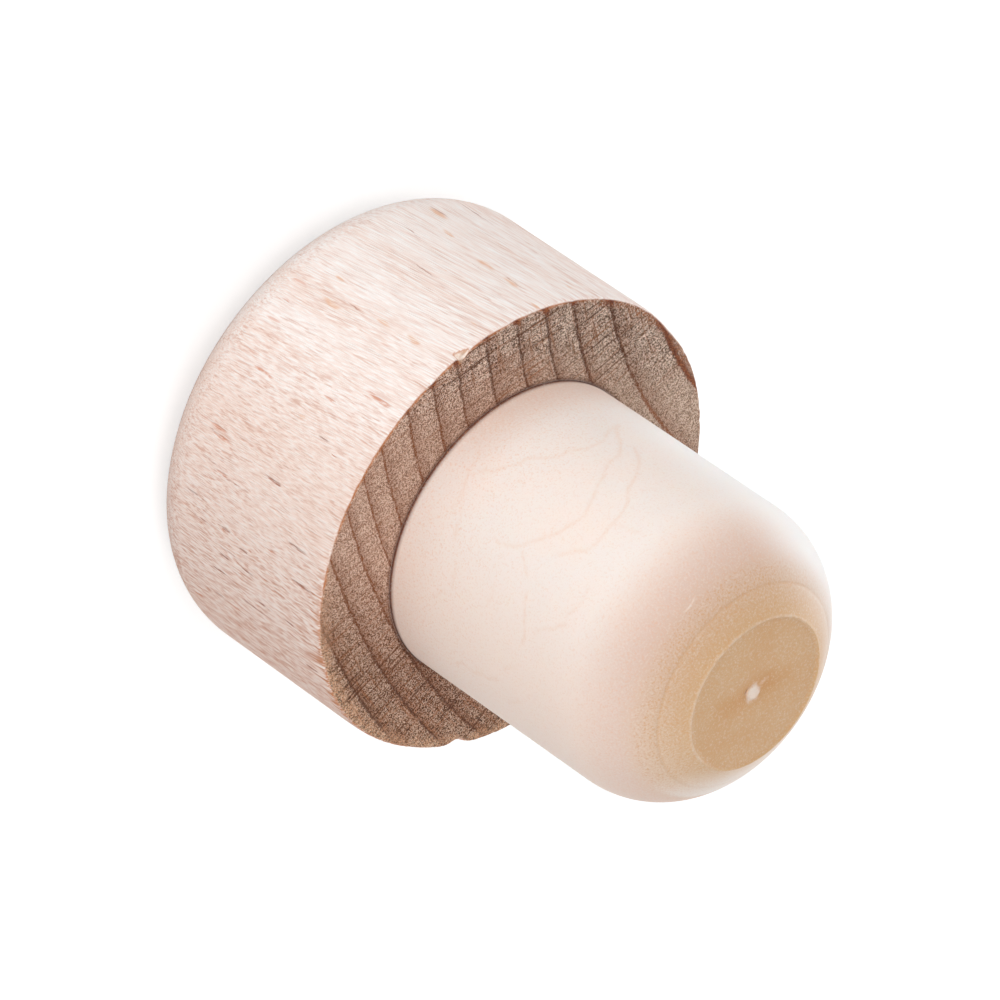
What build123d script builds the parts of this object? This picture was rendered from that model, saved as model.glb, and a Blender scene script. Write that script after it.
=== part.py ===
from build123d import *
import math
import os

# Bottle stopper: a turned wooden head with a moulded plug glued into its recess.
# Millimetres. The stopper stands on its head: +Z runs from the head's flat top,
# at Z = 0, to the tip of the plug, and Z is the axis that both pieces turn about.

# Wooden head
head_diameter = 30.5
head_height = 16.25
head_edge_radius = 3.4        # rounded edge round the flat top, for the fingers
head_rim_break = 0.2          # sharp underside edge, only just broken by sanding
recess_depth = 5.0            # flat-bottomed, bored to take the end of the plug

# Plug
shank_diameter = 19.5
shank_length = 21.2           # outside the head, from its underside to the flat at the tip
shank_end_chamfer = 0.6       # at the end that is glued in, to lead it into the recess

# Glued joint between the two
glue_gap = 0.05               # film of glue between the plug's side and the recess
glue_groove_count = 2         # round the glued end, the last one at the recess's mouth
glue_groove_width = 0.8
glue_groove_depth = 0.3
glue_groove_pitch = 1.9

# Tip of the plug
tip_arc_radius = 6.0          # bend that leads the plug into the bottle's neck
tip_band_angle = 31.0         # slope of the band between the bend and the flat, in degrees
tip_band_width = 1.64         # that band's width, measured square to the axis

# Marks that the mould leaves on the tip
insert_bead_width = 0.24      # line of flash where the mould's insert met its cavity
insert_bead_height = 0.1
insert_seam_width = 0.16      # fine groove where the sloped band leaves the bend
insert_seam_depth = 0.03
gate_dimple_diameter = 3.0    # shallow dish that keeps the gate's stub below the flat
gate_dimple_depth = 0.12
gate_nub_diameter = 0.9       # stub left where the runner was twisted off
gate_nub_height = 0.1         # from the dimple's floor
gate_nub_chamfer = 0.05

# Sizes worked out from the ones above
head_radius = head_diameter / 2
shank_radius = shank_diameter / 2
recess_radius = shank_radius + glue_gap
underside_z = head_height
seat_z = underside_z - recess_depth
tip_z = underside_z + shank_length

# The bend leaves the shank straight and runs into the sloped band, tangent to both.
tip_arc_sweep = 90.0 - tip_band_angle
tip_arc_height = tip_arc_radius * math.sin(math.radians(tip_arc_sweep))
tip_arc_width = tip_arc_radius * (1 - math.cos(math.radians(tip_arc_sweep)))
tip_band_height = tip_band_width * math.tan(math.radians(tip_band_angle))
tip_flat_radius = shank_radius - tip_arc_width - tip_band_width
straight_end_z = tip_z - tip_band_height - tip_arc_height


def wooden_head():
    """Grip turned from one block, with the rounded edge at its top and the recess below."""
    with BuildPart() as head:
        with BuildSketch(Plane.XZ):
            with BuildLine():
                top = Line((0, 0), (head_radius - head_edge_radius, 0))
                edge = JernArc(top @ 1, (1, 0), head_edge_radius, 90)
                side = Line(edge @ 1, (head_radius, underside_z - head_rim_break))
                rim = Line(side @ 1, (head_radius - head_rim_break, underside_z))
                underside = Line(rim @ 1, (0, underside_z))
                Line(underside @ 1, top @ 0)
            make_face()
        revolve(axis=Axis.Z)
        with Locations((0, 0, seat_z)):
            Cylinder(
                recess_radius,
                recess_depth,
                align=(Align.CENTER, Align.CENTER, Align.MIN),
                mode=Mode.SUBTRACT,
            )
    return head.part


def glued_side(start):
    """Profile of the plug's side inside the head, from the lead-in up, with its glue grooves."""
    groove_radius = shank_radius - glue_groove_depth
    side = Line((shank_radius - shank_end_chamfer, seat_z), start)
    for step in reversed(range(glue_groove_count)):
        mouth_z = underside_z - step * glue_groove_pitch
        land = Line(side @ 1, (shank_radius, mouth_z - glue_groove_width))
        flank = Line(land @ 1, (groove_radius, mouth_z - glue_groove_width / 2))
        side = Line(flank @ 1, (shank_radius, mouth_z))
    return side


def insert_seam(start):
    """Profile of the groove at the foot of the band, cut square to the band's slope."""
    slope = math.radians(tip_band_angle)
    up_band = Vector(-math.cos(slope), math.sin(slope))
    into_band = Vector(-math.sin(slope), -math.cos(slope))
    bottom = start + up_band * (insert_seam_width / 2) + into_band * insert_seam_depth
    inner = Line(start, bottom)
    return Line(inner @ 1, start + up_band * insert_seam_width)


def gate_mark(flat_end):
    """Profile of the dimple and of the stub in it, from the tip's flat to the axis."""
    floor_z = tip_z - gate_dimple_depth
    nub_radius = gate_nub_diameter / 2
    nub_top_z = floor_z + gate_nub_height
    dish_radius = (gate_dimple_diameter**2 / 4 + gate_dimple_depth**2) / (2 * gate_dimple_depth)
    nub_foot_z = floor_z + dish_radius - math.sqrt(dish_radius**2 - nub_radius**2)
    dish = RadiusArc(flat_end, (nub_radius, nub_foot_z), dish_radius)
    nub_side = Line(dish @ 1, (nub_radius, nub_top_z - gate_nub_chamfer))
    nub_edge = Line(nub_side @ 1, (nub_radius - gate_nub_chamfer, nub_top_z))
    return Line(nub_edge @ 1, (0, nub_top_z))


def stopper_shank():
    """Plug turned from its mould's half profile: glued end, shank, bend, band and tip."""
    half_bead = insert_bead_width / 2
    with BuildPart() as shank:
        with BuildSketch(Plane.XZ):
            with BuildLine():
                glued_end = Line((0, seat_z), (shank_radius - shank_end_chamfer, seat_z))
                mouth = glued_side((shank_radius, seat_z + shank_end_chamfer))
                straight = Line(mouth @ 1, (shank_radius, straight_end_z))
                bend = JernArc(straight @ 1, (0, 1), tip_arc_radius, tip_arc_sweep)
                seam = insert_seam(bend @ 1)
                band = Line(seam @ 1, (tip_flat_radius, tip_z))
                bead_out = Line(band @ 1, (tip_flat_radius - half_bead, tip_z + insert_bead_height))
                bead_in = Line(bead_out @ 1, (tip_flat_radius - insert_bead_width, tip_z))
                flat = Line(bead_in @ 1, (gate_dimple_diameter / 2, tip_z))
                nub_top = gate_mark(flat @ 1)
                Line(nub_top @ 1, glued_end @ 0)
            make_face()
        revolve(axis=Axis.Z)
    return shank.part


def write_step(solid, node):
    solid.label = node
    export_step(solid, os.path.join("parts", node + ".step"))


os.makedirs("parts", exist_ok=True)
write_step(wooden_head(), "wooden_head")
write_step(stopper_shank(), "stopper_shank")
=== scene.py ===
import math

import bmesh
import bpy
from bpy.props import FloatProperty, FloatVectorProperty, IntProperty, PointerProperty
from mathutils import Matrix, Vector, noise
import numpy


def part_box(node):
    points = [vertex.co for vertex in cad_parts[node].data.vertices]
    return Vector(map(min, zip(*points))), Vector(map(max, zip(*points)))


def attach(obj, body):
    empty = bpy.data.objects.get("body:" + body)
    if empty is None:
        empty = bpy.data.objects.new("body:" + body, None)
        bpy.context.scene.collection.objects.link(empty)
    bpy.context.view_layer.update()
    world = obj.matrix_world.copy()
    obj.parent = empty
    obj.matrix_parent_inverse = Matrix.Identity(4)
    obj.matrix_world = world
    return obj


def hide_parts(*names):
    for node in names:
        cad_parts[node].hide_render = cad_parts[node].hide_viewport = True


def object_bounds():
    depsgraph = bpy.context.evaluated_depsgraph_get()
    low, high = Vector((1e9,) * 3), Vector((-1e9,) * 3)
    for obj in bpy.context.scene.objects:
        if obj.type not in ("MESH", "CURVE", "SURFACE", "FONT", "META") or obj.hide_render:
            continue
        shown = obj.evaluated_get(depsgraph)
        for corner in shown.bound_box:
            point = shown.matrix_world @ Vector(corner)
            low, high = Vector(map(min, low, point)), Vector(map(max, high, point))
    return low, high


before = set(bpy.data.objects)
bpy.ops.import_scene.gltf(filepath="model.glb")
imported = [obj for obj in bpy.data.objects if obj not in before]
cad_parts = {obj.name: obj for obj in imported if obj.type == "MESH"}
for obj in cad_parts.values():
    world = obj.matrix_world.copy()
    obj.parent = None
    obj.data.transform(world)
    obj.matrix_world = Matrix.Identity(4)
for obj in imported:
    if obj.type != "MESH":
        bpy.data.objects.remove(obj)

bl_info = {
    "name": "Wooden Bottle Stopper",
    "version": (1, 0, 0),
    "blender": (4, 5, 0),
    "location": "View3D > Sidebar > Stopper",
    "description": "Turns the beech head, moulds the plug and lights the stopper on a pale floor",
    "category": "Add Mesh",
}

MM = 0.001
CAD_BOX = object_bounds()
HEAD_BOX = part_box("wooden_head")
PLUG_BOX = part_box("stopper_shank")
HEAD_RADIUS = HEAD_BOX[1].x
HEAD_HEIGHT = HEAD_BOX[1].z
PLUG_RADIUS = PLUG_BOX[1].x
SEAT_Z = PLUG_BOX[0].z
BEAD_TOP_Z = PLUG_BOX[1].z


def tone(red, green, blue):
    """A colour as it shows on a screen, 0 to 255 a channel, turned into linear light."""
    linear = []
    for channel in (red, green, blue):
        share = channel / 255
        if share <= 0.04045:
            linear.append(share / 12.92)
        else:
            linear.append(((share + 0.055) / 1.055) ** 2.4)
    return tuple(linear)


def length_property(name, description, default):
    return FloatProperty(
        name=name, description=description, default=default, min=0, unit="LENGTH", precision=5
    )


def colour_property(name, description, default):
    return FloatVectorProperty(
        name=name, description=description, default=default, min=0, max=1, subtype="COLOR", size=3
    )


class StopperHeadSettings(bpy.types.PropertyGroup):
    """Sizes and colours of the wooden head."""

    edge_radius: length_property("Edge radius", "Rounded edge round the flat top", 3.4 * MM)
    rim_break: length_property("Rim break", "Sanded corner of the underside's rim", 0.2 * MM)
    recess_gap: length_property("Recess gap", "Gap between the recess and the plug", 0.03 * MM)
    wear_depth: length_property("Wear depth", "Deepest even wear along the rim", 0.08 * MM)
    wear_reach: length_property("Wear reach", "How far the wear runs in from the rim", 0.35 * MM)
    sanding_waves: length_property("Sanding waves", "Unevenness left by hand sanding", 0.04 * MM)
    steps: IntProperty(name="Steps", description="Faces round the head", default=640, min=64)
    side_grain: colour_property("Side grain", "Pale wood along the fibres", tone(252, 240, 234))
    side_warm: colour_property("Warm streaks", "Pinker bands of the side grain", tone(242, 214, 200))
    side_dark: colour_property("Dark fibres", "Thin lines between the fibres", tone(200, 138, 110))
    side_light: colour_property("Light fibres", "Palest raised fibres", tone(255, 253, 251))
    blotch: colour_property("Blotches", "Tan patches where a ray lies flat", tone(232, 184, 150))
    ray_fleck: colour_property("Ray flecks", "Short red-brown dashes", tone(214, 144, 114))
    vessel_slit: colour_property("Vessel slits", "Darkest narrow slits", tone(168, 100, 76))
    end_grain: colour_property("End grain", "Cut fibres of the early wood", tone(201, 158, 134))
    end_brown: colour_property("Brown end grain", "Darker wood at one side", tone(142, 94, 61))
    end_grey: colour_property("Grey end grain", "Cooler wood at the other side", tone(184, 157, 136))
    end_light: colour_property("Light end grain", "Palest cut fibres", tone(246, 224, 208))
    late_wood: colour_property("Late wood", "Dark end of each year's ring", tone(132, 76, 44))
    ray_line: colour_property("Ray lines", "Orange-brown edges of cut rays", tone(156, 94, 54))
    pore: colour_property("Pores", "Open vessels in the end grain", tone(52, 31, 22))
    rim_burn: colour_property("Rim line", "Orange-brown line along the rim", tone(196, 124, 78))
    rim_red: colour_property("Rim stain", "Dark red where late wood meets the rim", tone(104, 46, 30))
    rim_cream: colour_property("Torn rim", "Loose pale fibres at the rim", tone(238, 204, 172))
    # This colour is partly glue stain and partly painted contact shade on the wood beside the plug.
    glue_stain_and_shade: colour_property("Contact", "Glue-stained wood beside the plug", tone(84, 40, 20))


class StopperPlugSettings(bpy.types.PropertyGroup):
    """Sizes and colours of the moulded plug."""

    end_chamfer: length_property("End chamfer", "Lead-in of the glued end", 0.6 * MM)
    groove_depth: length_property("Groove depth", "Depth of the glue grooves", 0.3 * MM)
    groove_width: length_property("Groove width", "Width of a glue groove", 0.8 * MM)
    groove_pitch: length_property("Groove pitch", "From groove to groove", 1.9 * MM)
    arc_radius: length_property("Tip bend", "Bend from the shank into the sloped band", 6.0 * MM)
    band_width: length_property("Band width", "Sloped band round the tip's flat", 1.64 * MM)
    bead_width: length_property("Bead width", "Line of flash round the flat", 0.24 * MM)
    bead_height: length_property("Bead height", "How far the flash stands up", 0.1 * MM)
    seam_width: length_property("Seam width", "Fine groove at the foot of the band", 0.16 * MM)
    seam_depth: length_property("Seam depth", "Depth of that groove", 0.03 * MM)
    dimple_radius: length_property("Dimple radius", "Dish round the gate", 1.5 * MM)
    dimple_depth: length_property("Dimple depth", "Depth of that dish", 0.12 * MM)
    nub_radius: length_property("Nub radius", "Stub of the gate", 0.45 * MM)
    nub_height: length_property("Nub height", "Height of the stub", 0.1 * MM)
    band_angle: FloatProperty(
        name="Band angle",
        description="Slope of the band",
        default=math.radians(31),
        subtype="ANGLE",
    )
    steps: IntProperty(name="Steps", description="Faces round the plug", default=448, min=64)
    cream: colour_property("Cream", "Moulded elastomer", tone(243, 232, 225))
    blush: colour_property("Blush", "Warmer clouds in the cream", tone(249, 229, 217))
    vein: colour_property("Veins", "Tan marbling", tone(232, 180, 142))
    # The bend colour is also used as painted shade just above the wood.
    bend_rose_and_shade: colour_property("Bend", "Pinker material in the bend", tone(222, 194, 179))
    # This colour is partly dust and partly painted contact shade where the plug leaves the wood.
    foot_dust_and_shade: colour_property("Foot", "Dust where the plug leaves the wood", tone(112, 54, 28))
    tip_tan: colour_property("Tip tan", "Denser material round the tip", tone(210, 172, 130))
    tip_pale: colour_property("Tip pale", "Paler tan at one side of the tip", tone(238, 212, 182))
    tip_brown: colour_property("Tip brown", "Darkest shade round the gate", tone(202, 148, 92))
    # Near-white used as a painted highlight on the back-lit wall and the tip's far side.
    painted_highlight: colour_property("Bleached", "Paler skin on one side", tone(255, 252, 250))
    # Also used as a painted highlight along the line of flash.
    stress_white_and_highlight: colour_property("Stress white", "Torn gate and edges of flash", tone(246, 234, 224))


class StopperStageSettings(bpy.types.PropertyGroup):
    """Floor, lamps and camera."""

    floor_colour: colour_property("Floor", "Plain pale floor", tone(206, 206, 206))
    floor_mottle: colour_property("Mottle", "Paler clouds in the floor", tone(228, 228, 228))
    floor_glow: FloatProperty(name="Floor glow", description="Lift to white", default=0.58, min=0)
    world_level: FloatProperty(name="World", description="Even light", default=0.37, min=0)
    key_power: FloatProperty(name="Key", description="Large soft lamp", default=1.62, unit="POWER")
    fill_power: FloatProperty(name="Fill", description="Soft lamp beside it", default=0.9, unit="POWER")
    back_power: FloatProperty(name="Back", description="Soft lamp behind", default=1.6, unit="POWER")
    top_power: FloatProperty(name="Top", description="Soft lamp above", default=0.2, unit="POWER")
    lens: FloatProperty(name="Lens", description="Focal length", default=309.6, unit="CAMERA")
    elevation: FloatProperty(
        name="Elevation", description="Camera's height", default=math.radians(36.67), subtype="ANGLE"
    )
    roll: FloatProperty(
        name="Roll", description="Camera's roll", default=math.radians(124.49), subtype="ANGLE"
    )
    distance: length_property("Distance", "Camera to the head's underside", 513.8 * MM)


# The picture is a square of this many pixels, and the middle of the head's underside is here in it.
PICTURE_SIZE = 1000
UNDERSIDE_PIXEL = (513.47, 526.84)
SENSOR_WIDTH = 36.0


def camera_frame(settings):
    """The camera's place, and its right, up and back directions."""
    level_x = Vector((1, 0, 0))
    level_y = Vector((0, math.sin(settings.elevation), math.cos(settings.elevation)))
    back = Vector((0, -math.cos(settings.elevation), math.sin(settings.elevation)))
    right = math.cos(settings.roll) * level_x + math.sin(settings.roll) * level_y
    up = math.cos(settings.roll) * level_y - math.sin(settings.roll) * level_x
    pixel = settings.distance * SENSOR_WIDTH / settings.lens / PICTURE_SIZE
    aside = (UNDERSIDE_PIXEL[0] - PICTURE_SIZE / 2) * pixel
    above = (PICTURE_SIZE / 2 - UNDERSIDE_PIXEL[1]) * pixel
    underside = Vector((0, 0, HEAD_HEIGHT))
    place = underside + back * settings.distance - right * aside - up * above
    return place, right, up, back


def seen_on_side(settings, pixel):
    """Place on the head's side that the camera sees at a pixel of the picture."""
    place, right, up, back = camera_frame(settings)
    width = SENSOR_WIDTH / settings.lens / PICTURE_SIZE
    aside = (pixel[0] - PICTURE_SIZE / 2) * width
    above = (PICTURE_SIZE / 2 - pixel[1]) * width
    ray = right * aside + up * above - back
    slant = ray.x**2 + ray.y**2
    nearing = place.x * ray.x + place.y * ray.y
    beyond = place.x**2 + place.y**2 - HEAD_RADIUS**2
    return place - ray * (nearing + math.sqrt(nearing**2 - slant * beyond)) / slant


# A full turn is built from this many equal sectors.
SECTORS = 8


class Profile:
    """Half profile in the XZ plane, drawn from point to point and then turned about Z."""

    def __init__(self, radius, z):
        self.mesh = bmesh.new()
        self.end = self.mesh.verts.new((radius, 0, z))

    def line(self, radius, z, pieces=1):
        """Straight run from the last point, cut into equal pieces."""
        step = (Vector((radius, 0, z)) - self.end.co) / pieces
        for _ in range(pieces):
            grown = bmesh.ops.extrude_vert_indiv(self.mesh, verts=[self.end])["verts"][0]
            grown.co = self.end.co + step
            self.end = grown
        return self

    def arc(self, centre_radius, centre_z, degrees, steps):
        """Round run about a centre. A positive angle turns from +X towards +Z."""
        turned = bmesh.ops.spin(
            self.mesh,
            geom=[self.end],
            cent=(centre_radius, 0, centre_z),
            axis=(0, -1, 0),
            angle=math.radians(degrees),
            steps=steps,
            use_merge=False,
            use_duplicate=False,
        )
        self.end = [part for part in turned["geom_last"] if isinstance(part, bmesh.types.BMVert)][0]
        return self

    def turned(self, steps):
        """The solid of revolution: one sector is turned, repeated round the axis and welded."""
        for angle, count, repeat in (
            (math.tau / SECTORS, steps // SECTORS, False),
            (math.tau * (SECTORS - 1) / SECTORS, SECTORS - 1, True),
        ):
            bmesh.ops.spin(
                self.mesh,
                geom=self.mesh.verts[:] + self.mesh.edges[:] + self.mesh.faces[:],
                cent=(0, 0, 0),
                axis=(0, 0, 1),
                angle=angle,
                steps=count,
                use_merge=False,
                use_duplicate=repeat,
            )
        bmesh.ops.remove_doubles(self.mesh, verts=self.mesh.verts, dist=0.001 * MM)
        bmesh.ops.recalc_face_normals(self.mesh, faces=self.mesh.faces)
        return self.mesh


def add_piece(name, mesh, material, node):
    """Turns a bmesh into a finished piece that stands for its node."""
    data = bpy.data.meshes.new(name)
    mesh.to_mesh(data)
    mesh.free()
    data.polygons.foreach_set("use_smooth", [True] * len(data.polygons))
    data.materials.append(material)
    piece = bpy.data.objects.new(name, data)
    bpy.context.scene.collection.objects.link(piece)
    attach(piece, "root")
    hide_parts(node)
    return piece


class Term:
    """One output of a shader node. Arithmetic on it adds the Math nodes that work it out."""

    def __init__(self, shader, socket):
        self.shader = shader
        self.socket = socket

    def math(self, operation, *values):
        return self.shader.node("Math", {"operation": operation}, values)

    def __add__(self, other):
        return self.math("ADD", self, other)

    def __radd__(self, other):
        return self.math("ADD", other, self)

    def __sub__(self, other):
        return self.math("SUBTRACT", self, other)

    def __rsub__(self, other):
        return self.math("SUBTRACT", other, self)

    def __mul__(self, other):
        return self.math("MULTIPLY", self, other)

    def __rmul__(self, other):
        return self.math("MULTIPLY", other, self)

    def __truediv__(self, other):
        return self.math("DIVIDE", self, other)

    def __rtruediv__(self, other):
        return self.math("DIVIDE", other, self)

    def __pow__(self, other):
        return self.math("POWER", self, other)

    def __rpow__(self, other):
        return self.math("POWER", other, self)

    def size(self):
        return self.math("ABSOLUTE", self)

    def fraction(self):
        return self.math("FRACT", self)

    def least(self, other):
        return self.math("MINIMUM", self, other)

    def most(self, other):
        return self.math("MAXIMUM", self, other)

    def rise(self, low, high):
        """0 below low, 1 above high and a smooth step between them; low may be the larger."""
        settings = {"interpolation_type": "SMOOTHSTEP"}
        if low < high:
            return self.shader.node("MapRange", settings, (self, low, high, 0.0, 1.0))
        return self.shader.node("MapRange", settings, (self, high, low, 1.0, 0.0))


class Shader:
    """The nodes of a material or of the world, built up from expressions."""

    def __init__(self, owner):
        owner.use_nodes = True
        self.owner = owner
        self.tree = owner.node_tree
        self.tree.nodes.clear()

    def node(self, kind, settings=None, inputs=(), output=0):
        """A node with its settings made first and its sockets fed next."""
        made = self.tree.nodes.new("ShaderNode" + kind)
        for name, value in (settings or {}).items():
            if name == "stops":
                self.set_stops(made.color_ramp, value)
            else:
                setattr(made, name, value)
        pairs = inputs.items() if isinstance(inputs, dict) else enumerate(inputs)
        for key, value in pairs:
            self.feed(made.inputs[key], value)
        return Term(self, made.outputs[output])

    def set_stops(self, ramp, stops):
        """Stops of a ramp as (position, grey level) pairs, in rising order."""
        while len(ramp.elements) < len(stops):
            ramp.elements.new(1.0)
        for element, (position, level) in zip(ramp.elements, stops):
            element.position = position
            element.color = (level, level, level, 1.0)

    def feed(self, socket, value):
        if isinstance(value, Term):
            self.tree.links.new(value.socket, socket)
        elif socket.type == "RGBA":
            socket.default_value = (*value[:3], 1.0)
        else:
            socket.default_value = value

    def finished(self, surface, output="OutputMaterial"):
        """Feeds the output node and hands back the material or the world."""
        shown = self.tree.nodes.new("ShaderNode" + output)
        self.feed(shown.inputs["Surface"], surface)
        return self.owner

    def place(self):
        """Object coordinates in millimetres."""
        return self.stretch(self.node("TexCoord", output="Object"), (1 / MM, 1 / MM, 1 / MM))

    def stretch(self, vector, factors):
        return self.node("VectorMath", {"operation": "MULTIPLY"}, (vector, factors))

    def shift(self, vector, offset):
        return self.node("VectorMath", {"operation": "ADD"}, (vector, offset))

    def between(self, vector, other):
        return self.node("VectorMath", {"operation": "SUBTRACT"}, (vector, other))

    def length(self, vector):
        return self.node("VectorMath", {"operation": "LENGTH"}, (vector,), output="Value")

    def parts(self, vector):
        """The X, Y and Z of a vector."""
        split = self.node("SeparateXYZ", inputs=(vector,)).socket.node
        return tuple(Term(self, socket) for socket in split.outputs)

    def vector(self, x, y, z):
        return self.node("CombineXYZ", inputs=(x, y, z))

    def painted(self, name):
        """Value painted on the mesh."""
        return self.node("Attribute", {"attribute_name": name}, output="Fac")

    def noise(self, vector, waves, detail=2.0, roughness=0.5):
        """Clouds from 0 to 1, with this many waves to a unit along X, Y and Z."""
        inputs = {
            "Vector": self.stretch(vector, waves),
            "Scale": 1.0,
            "Detail": detail,
            "Roughness": roughness,
        }
        return self.node("TexNoise", None, inputs)

    def cells(self, vector, output="Distance"):
        """Scattered points, about one to each unit cube of the vector."""
        return self.node("TexVoronoi", None, {"Vector": vector, "Scale": 1.0}, output)

    def spindles(self, vector, spacing, halves):
        """1 inside scattered ellipsoids with these half lengths, one in each cell, and 0 outside."""
        scaled = self.stretch(vector, tuple(1 / size for size in spacing))
        middle = self.cells(scaled, "Position")
        metric = tuple(size / half for size, half in zip(spacing, halves))
        reach = self.length(self.stretch(self.between(scaled, middle), metric))
        luck = self.parts(self.cells(scaled, "Color"))[0]
        return (reach - luck * 0.9).rise(0.45, -0.15)

    def marks(self, vector, spots, radius, aspect):
        """1 inside a few marks on a round side: angle in degrees, height and half length in mm."""
        flat = self.stretch(vector, (aspect, aspect, 1.0))
        nearest = None
        for degrees, height, half_length in spots:
            turn = math.radians(degrees)
            centre = (radius * aspect * math.cos(turn), radius * aspect * math.sin(turn), height)
            apart = self.node("VectorMath", {"operation": "DISTANCE"}, (flat, centre), output="Value")
            reach = apart / half_length
            nearest = reach if nearest is None else nearest.least(reach)
        return nearest.rise(1.15, 0.45)

    def mixed(self, share, first, second):
        """Colour between two others."""
        settings = {"data_type": "RGBA", "clamp_factor": True}
        return self.node("Mix", settings, {0: share, 6: first, 7: second}, output=2)

    def layered(self, colour, *layers):
        """A colour under layers, each a share and a colour, with the last one on top."""
        for share, layer in layers:
            colour = self.mixed(share, colour, layer)
        return colour

    def bump(self, height, distance, strength):
        inputs = {"Strength": strength, "Distance": distance, "Height": height}
        return self.node("Bump", None, inputs)


# Pith of the tree the head was cut from, and the radius of each year's ring about it, in mm
PITH = (-42.9, 12.0)
RING_RADII = (
    27.6, 30.1, 33.2, 35.9, 38.0, 40.2, 42.6, 44.9, 46.8, 48.9, 51.2, 52.8, 54.4, 56.4, 58.5, 60.6,
)
MEAN_RING_RADIUS = 45.0

# Spots where the rim is knocked: angle about Z and width in degrees, depth in mm
RIM_KNOCKS = (
    (20, 22, 0.16), (32, 2.6, 0.3), (-62, 4, 0.1), (-29, 4, 0.12), (-106, 2, 0.1), (-187, 8, 0.1),
)

# Wedge torn out of the rim: from its thin to its thick end in degrees, its height and depth in mm
TORN_ANGLES = (-118.6, -114.3)
TORN_HEIGHT = 0.55
TORN_DEPTH = 0.22


def angle_gap(first, second):
    """Smallest turn between two angles, in degrees."""
    return abs((first - second + 180) % 360 - 180)


def bell(distance, width):
    return math.exp(-((distance / width) ** 2))


def rim_knock_depth(degrees):
    depth = 0.0
    for angle, width, deepest in RIM_KNOCKS:
        depth += deepest * MM * bell(angle_gap(degrees, angle), width)
    return depth


def torn_share(degrees, from_rim):
    """1 in the middle of the wedge torn out of the rim and 0 outside it; from_rim is in mm."""
    thin, thick = TORN_ANGLES
    across = (degrees - thin) / (thick - thin)
    if not 0 < across < 1:
        return 0.0
    return max(0.0, 1 - from_rim / (TORN_HEIGHT * across)) ** 0.5


def wear_head(mesh, settings):
    """Moves the rim and the side in, never out, as handling and sanding have."""
    worn = mesh.verts.layers.float.new("worn")
    for vertex in mesh.verts:
        radius = math.hypot(vertex.co.x, vertex.co.y)
        if radius < PLUG_RADIUS:
            continue
        degrees = math.degrees(math.atan2(vertex.co.y, vertex.co.x))
        from_rim = math.hypot(HEAD_RADIUS - radius, HEAD_HEIGHT - vertex.co.z)
        outward = Vector((vertex.co.x / radius, vertex.co.y / radius, 0))
        spot = vertex.co / MM
        near_rim = bell(from_rim, settings.wear_reach)
        ragged = 0.5 + 0.5 * noise.fractal(spot * 1.1, 0.8, 2.0, 4)
        fine = max(0.0, noise.noise(spot * 3.1))
        depth = near_rim * (settings.wear_depth * (0.35 * ragged + 0.65 * fine))
        depth += bell(from_rim, 2.5 * settings.wear_reach) * rim_knock_depth(degrees)
        chip = torn_share(degrees, from_rim / MM)
        depth += chip * TORN_DEPTH * MM
        waves = 0.5 + 0.5 * noise.noise(Vector((spot.x * 0.16, spot.y * 0.16, spot.z * 0.09)))
        side = min(1.0, max(0.0, (radius - PLUG_RADIUS) / (2 * MM)))
        vertex.co -= outward * (depth + waves * settings.sanding_waves * side)
        if vertex.co.z > HEAD_HEIGHT / 2:
            vertex.co.z -= 0.5 * near_rim * depth
        vertex[worn] = min(1.0, 1.6 * chip)


# Marks on the head's side: angle about Z in degrees, height and half length in mm
DARK_SLITS = (
    (-42.8, 7.6, 0.95), (-36.7, 11.3, 0.9), (-57.3, 13.5, 0.95), (-49.2, 14.5, 1.15),
    (-47.8, 9.1, 0.7), (-43.1, 9.7, 0.8), (-50.0, 7.5, 0.8), (-37.8, 7.0, 0.65),
    (-67.8, 10.5, 1.05), (-82.3, 12.4, 0.55), (-33.9, 9.7, 0.8), (-26.1, 14.9, 0.75),
    (-36.9, 13.6, 0.75), (-29.4, 6.6, 0.45), (-53.3, 4.5, 1.0), (-128.7, 8.6, 0.5),
)
RED_FLECKS = (
    (-90.4, 11.3, 0.7), (-91.4, 9.6, 0.4), (-92.0, 8.1, 0.65), (-87.0, 5.9, 0.9),
    (-89.2, 4.0, 0.6), (-70.8, 4.9, 0.85), (-103.1, 4.2, 0.85), (-52.4, 11.5, 0.6),
    (-48.6, 10.6, 0.55), (-61.8, 6.2, 0.85), (-44.3, 11.2, 0.45), (-28.7, 8.1, 0.9),
    (-96.4, 14.2, 1.3), (-80.6, 13.6, 0.3), (-69.2, 5.4, 0.9), (-22.9, 4.2, 0.8),
    (-18.0, 10.8, 0.8), (-22.2, 7.4, 0.9),
)
TAN_BLOTCHES = (
    (-108.4, 6.7, 0.8), (-114.5, 5.6, 0.45), (-141.2, 13.0, 0.8), (-141.4, 10.6, 0.8),
    (-153.2, 14.7, 0.35), (-132.2, 9.8, 0.2), (-123.8, 14.8, 0.4), (-139.0, 15.8, 0.45),
    (-111.5, 10.4, 0.6), (-112.1, 13.0, 0.7), (-143.4, 6.7, 0.6), (-147.9, 4.4, 0.9),
    (-83.6, 10.3, 0.45),
)


# Long fibres on the head's side, each from one pixel of the picture to another
LONG_FIBRES = (
    ((455, 200), (497, 227)), ((413, 263), (437, 278)), ((388, 247), (400, 255)),
    ((527, 248), (543, 255)), ((567, 285), (582, 297)), ((422, 200), (452, 220)),
    ((193, 420), (232, 440)), ((177, 483), (197, 498)), ((210, 473), (247, 487)),
    ((260, 473), (287, 490)), ((403, 225), (425, 240)), ((470, 262), (487, 273)),
    ((500, 275), (530, 290)), ((340, 300), (365, 312)), ((200, 455), (226, 470)),
    ((181, 505), (215, 528)), ((215, 545), (250, 565)), ((247, 600), (275, 625)),
)


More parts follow.
